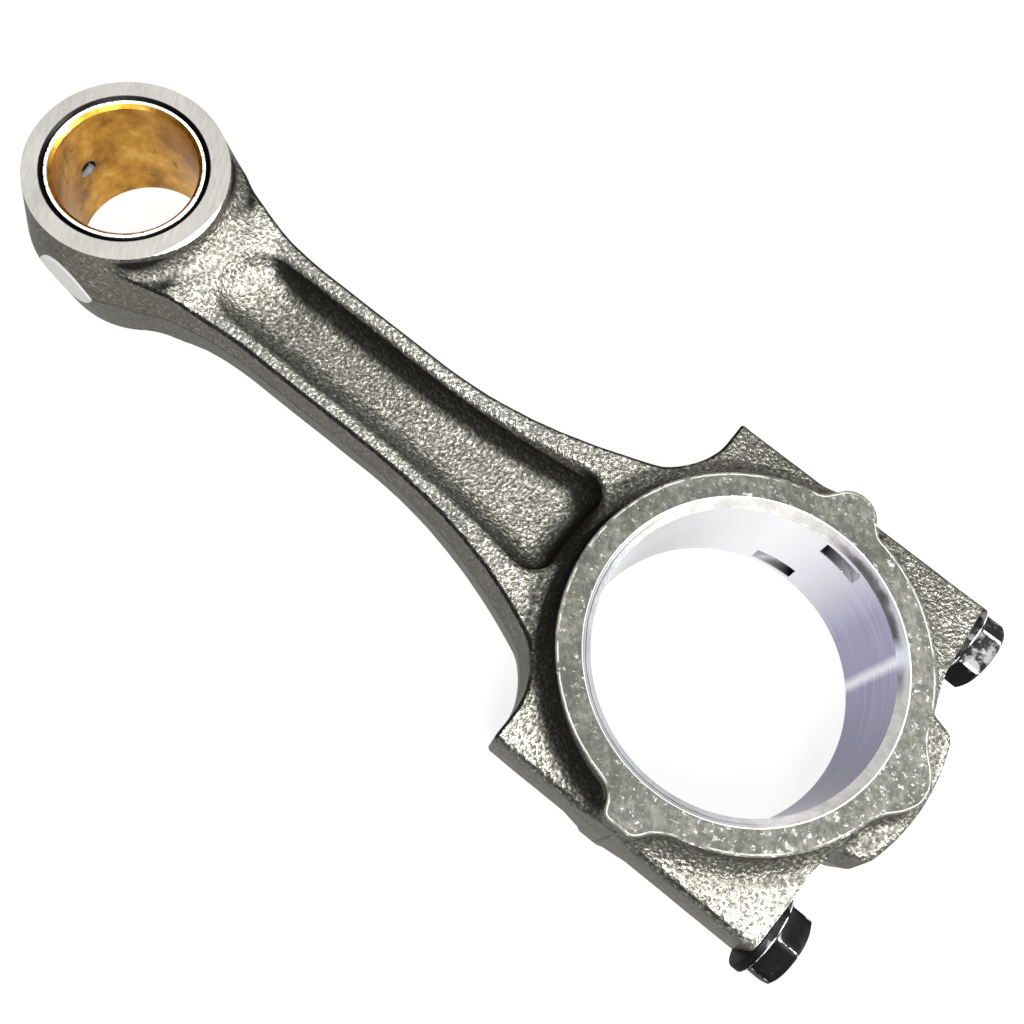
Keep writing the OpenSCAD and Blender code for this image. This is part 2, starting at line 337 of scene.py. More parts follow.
def bush_field(x, y, z):
    """Bush: a sleeve chamfered inside and out at both ends, drilled for oil at the tip."""
    r, up = np.hypot(x - REACH, y), np.abs(z)
    end = HALF_WIDTH - BUSH_SETBACK
    d = np.maximum(np.maximum(r - BUSH_R, PIN_R - r), up - end)
    d = np.maximum(d, (r - BUSH_R + up - end + BUSH_CHAMFER) * DIAGONAL)
    d = np.maximum(d, (PIN_R + PIN_CHAMFER - end - r + up) * DIAGONAL)
    return np.maximum(d, -oil_drilling(x, y, z))


# ---------------------------------------------------------------- contour

def slope_of(field, p):
    """Unit outward normal of a field at points p (3, n), by central differences."""
    step = 0.002
    g = np.empty_like(p)
    for a in range(3):
        q = p.copy()
        q[a] += step
        hi = field(*q)
        q[a] -= 2 * step
        g[a] = hi - field(*q)
    return g / np.maximum(np.sqrt((g * g).sum(0)), 1e-12)


def grade(lo, hi, cell, fine=None):
    """Nodes from lo to hi about one cell apart; fine cells past |value| = start."""
    n = int(math.ceil((hi - lo) / cell)) + 1
    nodes = np.linspace(lo, hi, n)
    if fine is None:
        return nodes
    start, small = fine
    inner = nodes[np.abs(nodes) < start]
    outer = np.arange(start, max(abs(lo), abs(hi)) + small, small)
    return np.concatenate([-outer[::-1], inner, outer])


def crossings(field, p0, p1, v0, v1):
    """Where the field is 0 between p0 and p1, by six steps of false position."""
    a, b = p0.copy(), p1.copy()
    fa, fb = v0.copy(), v1.copy()
    p = a
    for _ in range(6):
        t = fa / (fa - fb)
        p = a + (b - a) * t
        f = field(*p)
        low = (f < 0) == (fa < 0)
        a, fa = np.where(low, p, a), np.where(low, f, fa)
        b, fb = np.where(low, b, p), np.where(low, fb, f)
        fa, fb = np.where(low, fa, fa * 0.6), np.where(low, fb * 0.6, fb)
    return p


def contour(name, field, axes, blank=None):
    """Mesh of the surface field = 0 on a grid. Each cell that the surface enters gets one
    point, the one nearest to all the tangent planes at its edges' crossings, and each edge
    that the surface crosses gets one quad between the four cells round it. Where a blank's
    field is given, each point keeps its depth in the blank as the attribute cut_depth, in mm,
    and how shut in it is as the attribute hollow: the mean over the steps h, from 0 to 1 each,
    of 1 - field(p + h n) / h."""
    hold = 0.01             # how strongly a point keeps to the middle of its crossings
    inset = 0.28            # share of the way into its face at which a corner reads its normal
    steps = (1.5, 3.0, 4.5, 6.0)
    size = [len(a) for a in axes]
    x, y, z = np.meshgrid(*axes, indexing="ij", sparse=True)
    value = np.broadcast_to(field(x, y, z), size)
    inside = value < 0
    cells, points, normals, quads = [], [], [], []
    dims = np.array([n - 1 for n in size])
    for a in range(3):
        b, c = (a + 1) % 3, (a + 2) % 3
        near = [slice(None)] * 3
        far = [slice(None)] * 3
        near[a], far[a] = slice(0, -1), slice(1, None)
        at = np.argwhere(inside[tuple(near)] != inside[tuple(far)])
        to = at.copy()
        to[:, a] += 1
        p0 = np.array([axes[k][at[:, k]] for k in range(3)])
        p1 = np.array([axes[k][to[:, k]] for k in range(3)])
        p = crossings(field, p0, p1, value[tuple(at.T)], value[tuple(to.T)])
        n = slope_of(field, p)
        ring = []
        for db, dc in ((-1, -1), (0, -1), (0, 0), (-1, 0)):
            cell = at.copy()
            cell[:, b] += db
            cell[:, c] += dc
            ring.append(np.ravel_multi_index(tuple(cell.T), dims))
        ring = np.array(ring)
        cells.append(ring.ravel())
        points.append(np.tile(p, 4))
        normals.append(np.tile(n, 4))
        out = inside[tuple(at.T)]
        quads.append(np.where(out, ring, ring[::-1]))
    cells, quads = np.concatenate(cells), np.concatenate(quads, axis=1)
    points, normals = np.concatenate(points, axis=1), np.concatenate(normals, axis=1)
    used, slot = np.unique(cells, return_inverse=True)
    count = np.bincount(slot).astype(float)

    def total(w):
        return np.bincount(slot, weights=w, minlength=len(used))

    middle = np.array([total(points[k]) for k in range(3)]) / count
    gap = points - middle[:, slot]
    push = (normals * gap).sum(0)
    m = np.empty((len(used), 3, 3))
    r = np.empty((len(used), 3))
    for i in range(3):
        r[:, i] = total(normals[i] * push)
        for j in range(3):
            m[:, i, j] = total(normals[i] * normals[j])
        m[:, i, i] += hold * count
    verts = middle.T + np.linalg.solve(m, r[:, :, None])[:, :, 0]
    low = np.array(np.unravel_index(used, dims))
    for k in range(3):
        verts[:, k] = np.clip(verts[:, k], axes[k][low[k]], axes[k][low[k] + 1])
    faces = np.searchsorted(used, quads).T
    mesh = bpy.data.meshes.new(name)
    mesh.vertices.add(len(verts))
    mesh.vertices.foreach_set("co", (verts * MM).ravel())
    mesh.loops.add(faces.size)
    mesh.loops.foreach_set("vertex_index", faces.ravel())
    mesh.polygons.add(len(faces))
    mesh.polygons.foreach_set("loop_start", np.arange(0, faces.size, 4))
    mesh.polygons.foreach_set("loop_total", np.full(len(faces), 4))
    mesh.update(calc_edges=True)
    mesh.validate()
    # Each corner takes the field's own normal, read a little way into its face
    corner = verts[faces]
    mid = corner.mean(axis=1, keepdims=True)
    spot = (corner * (1 - inset) + mid * inset).reshape(-1, 3).T
    spread = slope_of(field, spot).T
    mesh.polygons.foreach_set("use_smooth", np.ones(len(faces), bool))
    mesh.normals_split_custom_set(spread)
    if blank is not None:
        depth = mesh.attributes.new("cut_depth", "FLOAT", "POINT")
        depth.data.foreach_set("value", -blank(*verts.T).astype(np.float32))
        way = slope_of(field, verts.T)
        shut = sum(np.clip(1 - field(*(verts.T + h * way)) / h, 0, 1) for h in steps)
        hollow = mesh.attributes.new("hollow", "FLOAT", "POINT")
        hollow.data.foreach_set("value", (shut / len(steps)).astype(np.float32))
    return place(name, mesh)


def place(name, mesh):
    """An object for a mesh, at the origin."""
    obj = bpy.data.objects.new(name, mesh)
    bpy.context.scene.collection.objects.link(obj)
    return obj


def grid_mesh(name, points, sharp):
    """Closed skin over points (rows, columns, 3): columns go round, the end rows are poles.
    Edges are sharp past that angle in degrees."""
    rows, cols = points.shape[:2]
    verts = np.concatenate([points[0, :1], points[1:-1].reshape(-1, 3), points[-1, :1]])
    ids = 1 + np.arange((rows - 2) * cols).reshape(rows - 2, cols)
    here, there = ids[:-1], ids[1:]
    quads = np.stack([here, there, np.roll(there, -1, 1), np.roll(here, -1, 1)], -1).reshape(-1, 4)
    first, last = ids[0], ids[-1]
    fan = np.stack([np.zeros(cols, int), first, np.roll(first, -1)], -1)
    cone = np.stack([np.full(cols, len(verts) - 1), np.roll(last, -1), last], -1)
    mesh = bpy.data.meshes.new(name)
    mesh.from_pydata((verts * MM).tolist(), [], quads.tolist() + fan.tolist() + cone.tolist())
    mesh.polygons.foreach_set("use_smooth", np.ones(len(mesh.polygons), bool))
    mesh.set_sharp_from_angle(angle=math.radians(sharp))
    return place(name, mesh)


# ---------------------------------------------------------------- bolts

def cap_bolt(name, side, turn):
    """Cap bolt: at each angle t a profile (x, r) runs from the head's middle to the point.
    The hexagon's radius is af/2 / cos(t - nearest flat), rounded at the corners and capped by
    a 30-degree chamfer cone; the thread's radius is its core plus a triangle wave of
    x / pitch - t / 2 pi. Each row is (x, r, wear and highlight), and the attribute worn keeps
    wear and painted highlights: 1 along the hexagon's corners, less on its rims, and 0.62 on
    one facet, painted as lit."""
    cols, turn_once = 96, 2 * math.pi
    half_flats, corner_r, face_r, flange_r = 6.0, 6.78, 5.55, 7.4
    shank_r, core_r, point_r = 3.98, 3.36, 2.9
    flange, head, pitch, thread_from, tip = 1.8, 4.7, 1.25, -4.0, 18.0
    facet, half_facet = math.radians(150), math.radians(28)
    t = np.arange(cols) * 2 * math.pi / cols
    none = 0 * t
    from_corner = np.abs((t + math.pi / 6) % (math.pi / 3) - math.pi / 6)
    hexagon = np.minimum(half_flats / np.cos(math.pi / 6 - from_corner), corner_r)
    edge = (from_corner < 0.01) * 1.0
    # One facet of the tang side's head is painted as lit
    if side < 0:
        edge = np.maximum(edge, 0.62 * (np.abs(t - facet) < half_facet))
    seat, foot, top = SEAT_X, SEAT_X - flange, SEAT_X - flange - head
    drop = (hexagon - face_r) * math.tan(math.radians(30))
    waist = top + 0.16 + drop
    rows = [(top + 0.25, none, none), (top + 0.25, none + 3.6, none),
            (top, none + 4.0, none + 0.4), (top, none + face_r - 0.15, none),
            (top + 0.06, none + face_r, none + 0.6)]
    rows += [(top + 0.06 + drop * k, face_r + (hexagon - face_r) * k, edge) for k in (0.5, 0.92)]
    rows += [(waist + (foot - 0.55 - waist) * k, hexagon, edge) for k in (0, 0.33, 0.66, 1.0)]
    rows += [(foot - 0.18, hexagon + 0.12, none + 0.5), (foot - 0.03, hexagon + 0.42, none + 0.7),
             (foot + 0.02, none + flange_r - 0.28, none + 0.5),
             (foot + 0.2, none + flange_r - 0.04, none + 1),
             (foot + 0.45, none + flange_r, none + 0.3), (seat - 0.35, none + flange_r, none),
             (seat - 0.06, none + flange_r - 0.15, none), (seat, none + flange_r - 0.5, none),
             (seat, none + 4.3, none), (seat + 0.3, none + 4.0, none),
             (seat + 1.0, none + shank_r, none)]
    rows += [(x0, none + shank_r, none) for x0 in np.linspace(seat + 2, thread_from, 12)]
    turns = int(round((tip - 1.0 - thread_from) / pitch * 8))
    for x0 in np.linspace(thread_from, tip - 1.0, turns)[1:]:
        wave = np.abs(((x0 / pitch - t / turn_once) % 1) * 2 - 1)
        grown = min(1, (x0 - thread_from) / pitch)
        deep = (shank_r - core_r) * grown * np.clip(wave * 1.3 - 0.15, 0, 1)
        rows += [(x0, shank_r - deep, none)]
    rows += [(tip - 0.5, none + core_r, none), (tip, none + point_r, none), (tip, none, none)]
    x = np.array([np.broadcast_to(a, cols) for a, _, _ in rows])
    r = np.array([b for _, b, _ in rows])
    worn = np.array([c for _, _, c in rows])
    angle = t + math.radians(turn)
    y, z = side * BOLT_Y + r * np.sin(angle), -r * np.cos(angle)
    bolt = grid_mesh(name, np.stack([x, y, z], -1), 22)
    wear = bolt.data.attributes.new("worn", "FLOAT", "POINT")
    worn = np.concatenate([worn[0, :1], worn[1:-1].ravel(), worn[-1, :1]])
    wear.data.foreach_set("value", worn.astype(np.float32))
    return bolt


# ---------------------------------------------------------------- shaders

class Val:
    """A shader socket that takes part in Python sums; each operator adds one Math node."""

    def __init__(self, finish, socket):
        self.finish, self.socket = finish, socket

    def _do(self, op, *args):
        return self.finish.node("ShaderNodeMath", {"operation": op}, dict(enumerate(args)))

    def __add__(self, o):
        return self._do("ADD", self, o)

    def __sub__(self, o):
        return self._do("SUBTRACT", self, o)

    def __rsub__(self, o):
        return self._do("SUBTRACT", o, self)

    def __mul__(self, o):
        return self._do("MULTIPLY", self, o)

    def __truediv__(self, o):
        return self._do("DIVIDE", self, o)

    def __pow__(self, o):
        return self._do("POWER", self, o)

    def __abs__(self):
        return self._do("ABSOLUTE", self)

    def __gt__(self, o):
        return self._do("GREATER_THAN", self, o)

    def __lt__(self, o):
        return self._do("LESS_THAN", self, o)

    __radd__, __rmul__ = __add__, __mul__

    def max(self, o):
        return self._do("MAXIMUM", self, o)


class Finish:
    """A material, its Principled shader and the means to add nodes to it."""

    def __init__(self, name):
        self.material = bpy.data.materials.new(name)
        self.material.use_nodes = True
        self.tree = self.material.node_tree
        self.shader = next(n for n in self.tree.nodes if n.type == "BSDF_PRINCIPLED")
        self.where = self.node("ShaderNodeTexCoord", out="Object")
        split = self.add("ShaderNodeSeparateXYZ", {}, {0: self.where})
        self.x, self.y, self.z = [Val(self, s) * (1 / MM) for s in split.outputs]

    def add(self, kind, settings, sockets):
        """Adds a node; settings come first, then its sockets' values or links."""
        n = self.tree.nodes.new(kind)
        for key, value in settings.items():
            if key == "stops":
                ramp = n.color_ramp
                while len(ramp.elements) < len(value):
                    ramp.elements.new(1.0)
                for e, (pos, colour) in zip(ramp.elements, value):
                    e.position = pos
                    e.color = (*colour, 1)
            else:
                setattr(n, key, value)
        for key, value in sockets.items():
            if isinstance(value, Val):
                self.tree.links.new(value.socket, n.inputs[key])
            else:
                n.inputs[key].default_value = value
        return n

    def node(self, kind, settings=None, sockets=None, out=0):
        """The same, giving one of the node's outputs."""
        return Val(self, self.add(kind, settings or {}, sockets or {}).outputs[out])

    def noise(self, grain, detail=3.0, rough=0.6, stretch=(1, 1, 1), lean=0.0, shift=0.0):
        """Noise with grains of the given size in mm, stretched along X, Y or Z."""
        at = self.where
        if lean:
            at = self.node("ShaderNodeMapping", {}, {"Vector": at, "Rotation": (0, 0, lean)})
        scale = tuple(1 / s for s in stretch)
        at = self.node("ShaderNodeMapping", {}, {"Vector": at, "Scale": scale,
                                                 "Location": (shift, shift * 0.7, 0)})
        return self.node("ShaderNodeTexNoise", {}, {"Vector": at, "Scale": 1 / (grain * MM),
                                                    "Detail": detail, "Roughness": rough})

    def mix(self, factor, a, b):
        """Colour a turned to colour b by the factor."""
        a, b = [v if isinstance(v, Val) else (*v, 1) for v in (a, b)]
        return self.node("ShaderNodeMix", {"data_type": "RGBA"}, {0: factor, 6: a, 7: b}, out=2)

    def ramp(self, value, stops):
        return self.node("ShaderNodeValToRGB", {"stops": stops}, {0: value})

    def between(self, value, a, b):
        """0 below a, 1 above b, straight between."""
        return self.node("ShaderNodeMapRange", {}, {"Value": value, "From Min": a, "From Max": b})

    def set(self, **inputs):
        for key, value in inputs.items():
            socket = self.shader.inputs[key.replace("_", " ")]
            if isinstance(value, Val):
                self.tree.links.new(value.socket, socket)
            else:
                socket.default_value = value

    def bump(self, height, reach, strength):
        """A bump whose full height is reach in mm."""
        return self.node("ShaderNodeBump", {}, {"Height": height, "Distance": reach * MM,
                                                "Strength": strength})


# Tones of the steel: stops of (place, colour), from dark to pale
HIDE_TONES = [(0.34, (0.050, 0.050, 0.041)), (0.46, (0.110, 0.107, 0.090)),
              (0.56, (0.170, 0.166, 0.143)), (0.66, (0.42, 0.41, 0.37))]
LIT_TOP_TONES = [(0.34, (0.10, 0.10, 0.085)), (0.46, (0.21, 0.205, 0.18)),
                (0.56, (0.32, 0.315, 0.285)), (0.66, (0.70, 0.69, 0.65))]
FACE_TONES = [(0.40, (0.023, 0.024, 0.018)), (0.5, (0.043, 0.044, 0.035)),
              (0.58, (0.080, 0.080, 0.068))]
EYE_FACE_TONES = [(0.36, (0.150, 0.144, 0.132)), (0.64, (0.225, 0.218, 0.203))]
BORE_TONES = [(0.3, (0.32, 0.31, 0.43)), (0.7, (0.43, 0.42, 0.55))]
JOINT_TONES = [(0.35, (0.15, 0.15, 0.145)), (0.65, (0.30, 0.30, 0.29))]
NOTCH_SHADE_TONES = [(0.1, (0.02, 0.02, 0.02)), (0.9, (0.5, 0.5, 0.52))]
CHAMFER_TONES = [(0.35, (0.60, 0.59, 0.57)), (0.6, (0.82, 0.81, 0.77))]
CHAMFER_REFLECTION_TONES = [(0.10, (0.035, 0.022, 0.03)), (0.18, (0.12, 0.11, 0.15)),
                (0.30, (0.62, 0.62, 0.66))]
SLOW_PATCH, PARTING_DARK, PAINTED_SHADE_COLOUR = (0.06, 0.058, 0.046), (0.02, 0.02, 0.018), (0.005, 0.005, 0.004)
WALL, LOW_WALL = (0.145, 0.134, 0.112), (0.20, 0.19, 0.165)
NICK_AND_EDGE_HIGHLIGHT, FLAT_FACE, BEVEL_FACE = (0.26, 0.26, 0.24), (0.80, 0.79, 0.76), (0.92, 0.91, 0.88)
LIT_BORE, BORE_HIGHLIGHT, CHAMFER_HIGHLIGHT = (0.97, 0.96, 0.97), (0.95, 0.96, 1.0), (0.86, 0.88, 1.0)
SHADY_CHAMFER, TOOL_LINE = (0.24, 0.25, 0.26), (0.06, 0.06, 0.07)
SPLIT_LINE, GROOVE_SHADE, ROD_HOLE_SHADE = (0.03, 0.03, 0.03), (0.006, 0.006, 0.006), (0.02, 0.02, 0.02)

CHAMFER_LINE = BORE_R + BORE_CHAMFER - HALF_WIDTH   # r - |z| all over the bore's chamfers
CHAMFER_MID = BORE_R + BORE_CHAMFER / 2
CHAMFER_FROM = HALF_WIDTH - BORE_CHAMFER - 0.2
HOLE_WALL = OIL_R + 0.1


def forged_hide(f, r, eye_r, facing, hollow, grain, coarse):
    """Colour, wall mask below the parting line, speck and painted shade of the shot-blasted hide."""
    x, z = f.x, f.z
    up = abs(z)
    face_x, face_y, face_z = facing
    patch = f.noise(22, 3.0, 0.55, shift=0.7)
    speck = grain * 0.8 + coarse * 0.2
    colour = f.ramp(speck, HIDE_TONES)
    colour = f.mix(f.between(patch, 0.42, 0.7) * 0.35, colour, SLOW_PATCH)
    # The parting line round the forging, painted as a dark line
    waver = f.noise(16, 2.0, 0.5, shift=2.1)
    parting = f.between(abs(z - 0.1 - waver * 0.6), 0.34, 0.12)
    colour = f.mix(parting * 0.8, colour, PARTING_DARK)
    # Walls are paler and browner than tops, and smoother below the parting line
    wall = f.between(abs(face_z), 0.45, 0.1)
    low = wall * f.between(z, 0.3, -0.3)
    colour = f.mix(wall * 0.55, colour, WALL)
    colour = f.mix(low * 0.35, colour, LOW_WALL)
    # Tops that stand proud get paler tones: painted light
    proud = f.between(up, 5.6, 6.6) * f.between(r, 37, 46) * f.between(eye_r, 20, 30)
    colour = f.mix(proud * (1 - wall) * 0.6, colour, f.ramp(speck, LIT_TOP_TONES))
    # Painted shade: darker where the hide is shut in, and on the walls of the pockets and of the
    # ring's foot that face away from the low light
    painted_shade = f.between(hollow, 0.012, 0.085) * (f.between(x, -32, -20) * 0.6 + 0.4)
    in_pocket = f.between(up, 6.3, 5.7) * (x > POCKET_FROM) * (x < 120)
    ring_foot = f.between(r, 37, 34) * f.between(x, -9, 6)
    away_side_shade = in_pocket.max(ring_foot) * f.between(abs(face_z), 0.1, 0.2)
    painted_shade = painted_shade.max(away_side_shade * f.between(face_x * 0.6 + face_y * 0.8, 0.12, 0.42))
    return f.mix(painted_shade * 0.95, colour, PAINTED_SHADE_COLOUR), low, speck, painted_shade


def bore_chamfer(f, r, across):
    """Colour of the bore's chamfers: bright, painted shade on the shank's side, a painted reflection
    on the other, one painted highlight.
    """
    x, y = f.x, f.y
    smear = f.noise(3, 3.0, 0.6, shift=0.2)
    colour = f.ramp(smear, CHAMFER_TONES)
    inner_line = f.between(abs(r - (CHAMFER_MID + 0.05) - smear * 0.3), 0.16, 0.05)
    outer_line = f.between(abs(r - (CHAMFER_MID + 0.6) - smear * 0.2), 0.1, 0.03)
    shank_side = f.between((x * 0.6 + y * 0.8) / BORE_R, 0.1, 0.7)
    colour = f.mix(shank_side * 0.7, colour, SHADY_CHAMFER)
    colour = f.mix(inner_line.max(outer_line) * shank_side * 0.8, colour, TOOL_LINE)
    # Painted reflection, dark to pale across the chamfer, on the side away from the shank
    reflected_side = f.between((x * -0.545 + y * -0.839) / r + smear * 0.06, 0.84, 0.96) * 0.85
    reflection_tone = f.ramp(smear * 0.4 + (r - CHAMFER_MID) * 0.28, CHAMFER_REFLECTION_TONES)
    colour = f.mix(reflected_side, colour, reflection_tone)
    # Painted highlight, in line with the bore's
    return f.mix(f.between(abs(across - 0.6), 3.4, 0.6) * (x < 0), colour, CHAMFER_HIGHLIGHT)


def forged_steel():
    """Shot-blasted forging with ground faces and polished bores, told apart by their place."""
    f = Finish("forged_steel")
    x, y, z = f.x, f.y, f.z
    up = abs(z)
    r = (x * x + y * y) ** 0.5
    eye_r = ((x - REACH) * (x - REACH) + y * y) ** 0.5
    across = x * 0.616 - y * 0.788
    direction = f.node("ShaderNodeTexCoord", out="Normal")
    facing = [f.node("ShaderNodeSeparateXYZ", {}, {0: direction}, out=k) for k in range(3)]
    # Where the metal is machined, and how deep the cut lies in the blank
    depth = f.node("ShaderNodeAttribute", {"attribute_name": "cut_depth"}, out="Fac")
    hollow = f.node("ShaderNodeAttribute", {"attribute_name": "hollow"}, out="Fac")
    cut = f.between(depth, 0.04, 0.10)
    # Painted highlight in patches near the faces' outer edges, where the cut lies shallow in the
    # blank
    rim_highlight = f.between(abs(depth - 0.24 - f.noise(1.4, 3.0, 0.6) * 0.3), 0.17, 0.05)
    rim_highlight = rim_highlight * f.between(f.noise(4, 3.0, 0.6, shift=1.9), 0.40, 0.52)
    big = x < BIG_TO
    face = f.between(up, HALF_WIDTH - 0.10, HALF_WIDTH - 0.04)
    small_face = face * (x > SMALL_FROM)
    bore = f.between(r, BORE_R + 0.25, BORE_R + 0.1) * big
    chamfer = f.between(r - up, CHAMFER_LINE + 0.15, CHAMFER_LINE + 0.02) * (up > CHAMFER_FROM) * big
    bevel = cut * (up > BEVEL_FROM + 0.1) * (1 - face) * f.between(x, 108, 110)
    split = f.between(abs(x), 0.16, 0.06) * (1 - bore)
    joint = (abs(x) < 0.05) * (abs(facing[0]) > 0.8)
    seat = f.between(abs(x + SEAT), 0.12, 0.05) * (abs(y) > 20) * (up < 12)
    from_flat = ((x - EYE_X) * (x - EYE_X) + z * z) ** 0.5
    flat = (y > FLAT_Y - 0.2) * f.between(from_flat, FLAT_R - 0.02, FLAT_R - 0.12)
    notch = (y < -15) * (r < 29) * (abs(x) < 10) * (up < 11)
    eye_groove = f.between(eye_r, BUSH_R + EYE_CHAMFER + 0.1, BUSH_R + EYE_CHAMFER)
    oil_hole = ((y * y + z * z) ** 0.5 < HOLE_WALL) * (x > 148)
    # The forged hide
    grain = f.noise(0.62, 2.0, 0.5)
    coarse = f.noise(1.7, 3.0, 0.6, shift=0.3)
    colour, low, speck, painted_shade = forged_hide(f, r, eye_r, facing, hollow, grain, coarse)
    # Thrust faces: dull ground steel with pits, fine scratches and painted highlights at the edge
    rub = f.noise(0.5, 4.0, 0.6, stretch=(14, 1, 1), lean=0.7)
    rub_2 = f.noise(0.6, 3.0, 0.6, stretch=(1, 18, 1), lean=-0.4, shift=0.4)
    stain = f.noise(9, 4.0, 0.6, shift=1.3)
    pits = f.noise(1.3, 4.0, 0.65, shift=0.9)
    scratch = f.noise(1.1, 5.0, 0.75, shift=0.5)
    scratch_2 = f.noise(0.45, 2.0, 0.5, stretch=(5, 1, 1), lean=-0.25, shift=0.8)
    face_colour = f.ramp(pits * 0.45 + rub * 0.15 + rub_2 * 0.1 + stain * 0.3, FACE_TONES)
    nick = f.between(scratch + f.between(x, 10, -25) * 0.03, 0.60, 0.66)
    nick = nick.max(f.between(scratch_2, 0.70, 0.75) * 0.7)
    face_colour = f.mix(nick.max(rim_highlight), face_colour, NICK_AND_EDGE_HIGHLIGHT)
    comb = f.noise(0.5, 4.0, 0.6, stretch=(14, 1, 1), lean=1.15, shift=0.6)
    eye_face_colour = f.ramp(comb * 0.35 + rub * 0.25 + stain * 0.4, EYE_FACE_TONES)
    # The bore: violet grey in its shade, painted white towards the light, with one painted highlight
    turned = f.noise(1.1, 3.0, 0.6, stretch=(14, 14, 0.5))
    lit_side = f.between((x * 0.75 - y * 0.66) / BORE_R, 0.15, 0.85)
    bore_colour = f.mix(lit_side, f.ramp(turned, BORE_TONES), LIT_BORE)
    bore_highlight = f.between(abs(across + turned * 1.2 - 0.6), 1.5, 0.2) * (x < 0)
    bore_colour = f.mix(bore_highlight * 0.85, bore_colour, BORE_HIGHLIGHT)
    # Each finish in its place
    colour = f.mix(face, colour, face_colour)
    colour = f.mix(small_face, colour, eye_face_colour)
    colour = f.mix(seat.max(joint), colour, f.ramp(rub, JOINT_TONES))
    colour = f.mix(flat, colour, FLAT_FACE)
    colour = f.mix(bevel, colour, BEVEL_FACE)
    # The tang notch is painted darker towards the split: painted shade in the recess
    colour = f.mix(notch, colour, f.ramp(abs(x) / 8, NOTCH_SHADE_TONES))
    # Painted shade inside the oil hole
    colour = f.mix(oil_hole, colour, ROD_HOLE_SHADE)
    colour = f.mix(bore, colour, bore_colour)
    colour = f.mix(chamfer, colour, bore_chamfer(f, r, across))
    colour = f.mix(split * 0.2, colour, SPLIT_LINE)
    # Painted shade in the groove of the eye's chamfer round the bush
    colour = f.mix(eye_groove * (1 - oil_hole), colour, GROOVE_SHADE)
    smooth = face.max(bore).max(chamfer).max(flat).max(notch).max(bevel).max(seat).max(joint)
    rough = 0.44 - speck * 0.16 + face * 0.20 - bore.max(chamfer) * 0.16
    rough = rough + painted_shade * (1 - smooth) * 0.35
    hide_bump = f.bump((grain * 0.75 + coarse * 0.25) * (1 - low * 0.6), 0.42, 1.0)
    fine_bump = f.bump(rub * 0.6 + stain * 0.2 + turned * bore, 0.05, 0.6)
    normal = f.node("ShaderNodeMix", {"data_type": "VECTOR"},
                    {0: smooth, 4: hide_bump, 5: fine_bump}, out=1)
    f.set(Base_Color=colour, Roughness=rough, Metallic=0.85 - face * 0.80 - chamfer * 0.15,
          Normal=normal, Specular_Tint=(0.4, 0.4, 0.4, 1))
    return f.material


BRONZE_TONES = [(0.32, (0.11, 0.038, 0.004)), (0.45, (0.31, 0.138, 0.014)),
                (0.56, (0.52, 0.265, 0.034)), (0.72, (0.82, 0.53, 0.14))]
BROWN_STAIN, BRIGHT_END = (0.13, 0.05, 0.008), (0.80, 0.78, 0.72)
HOLE_SHADE, HOLE_HIGHLIGHT = (0.02, 0.018, 0.015), (0.96, 0.96, 0.94)


def bush_bronze():
    """Reamed bronze: brown mottling and stains, lengthways lines, bright ends with painted shade at
    their outer edge.
    """
    f = Finish("bush_bronze")
    mottle = f.noise(5, 5.0, 0.65)
    cloud = f.noise(14, 3.0, 0.5, shift=0.4)
    line = f.noise(0.7, 3.0, 0.5, stretch=(1, 1, 16))
    colour = f.ramp(mottle * 0.6 + cloud * 0.4, BRONZE_TONES)
    pin_r = ((f.x - REACH) * (f.x - REACH) + f.y * f.y) ** 0.5
    stain = f.between(f.noise(3.2, 5.0, 0.7, stretch=(1, 1, 1.6), shift=1.1), 0.60, 0.68)
    colour = f.mix(stain * 0.7, colour, BROWN_STAIN)
    end = (abs(f.z) > 12.6) * f.between(pin_r, PIN_R + 0.62, PIN_R + 0.7)
    colour = f.mix(end, colour, BRIGHT_END)
    # Painted shade on the outer chamfer, in the groove round the bush
    colour = f.mix(f.between(pin_r, BUSH_R - 0.3, BUSH_R - 0.24), colour, GROOVE_SHADE)
    # Painted shade in the oil hole, with a painted highlight on its lower wall
    in_hole = ((f.y * f.y + f.z * f.z) ** 0.5 < HOLE_WALL) * (pin_r > PIN_R + 0.1)
    colour = f.mix(in_hole, colour, HOLE_SHADE)
    colour = f.mix(in_hole * (f.z < -0.9), colour, HOLE_HIGHLIGHT)
    f.set(Base_Color=colour, Roughness=0.24 + mottle * 0.22, Metallic=0.95,
          Normal=f.bump(line * 0.7 + mottle * 0.3, 0.06, 0.7))
    return f.material


def black_oxide():
    """Black oxide over steel, rubbed to grey in patches, with painted highlights along the head's
    edges and on one facet.
    """
    f = Finish("black_oxide_steel")
    oxide, bare_patch, bare_edge_and_highlight = (0.006, 0.006, 0.006), (0.11, 0.11, 0.11), (0.55, 0.55, 0.55)
    wear = f.noise(2.4, 4.0, 0.65)
    edge = f.node("ShaderNodeAttribute", {"attribute_name": "worn"}, out="Fac")
    worn = f.between(wear + edge * 0.24 + (f.y < 0) * 0.08, 0.66, 0.76)
    bare = f.mix(f.between(edge, 0.62, 0.8), bare_patch, bare_edge_and_highlight)
    f.set(Base_Color=f.mix(worn, oxide, bare), Roughness=0.34 + wear * 0.2 + worn * 0.05,
          Metallic=0.75, Specular_Tint=(0.3, 0.3, 0.3, 1),
          Normal=f.bump(f.noise(0.8, 4.0, 0.6), 0.08, 0.6))
    return f.material


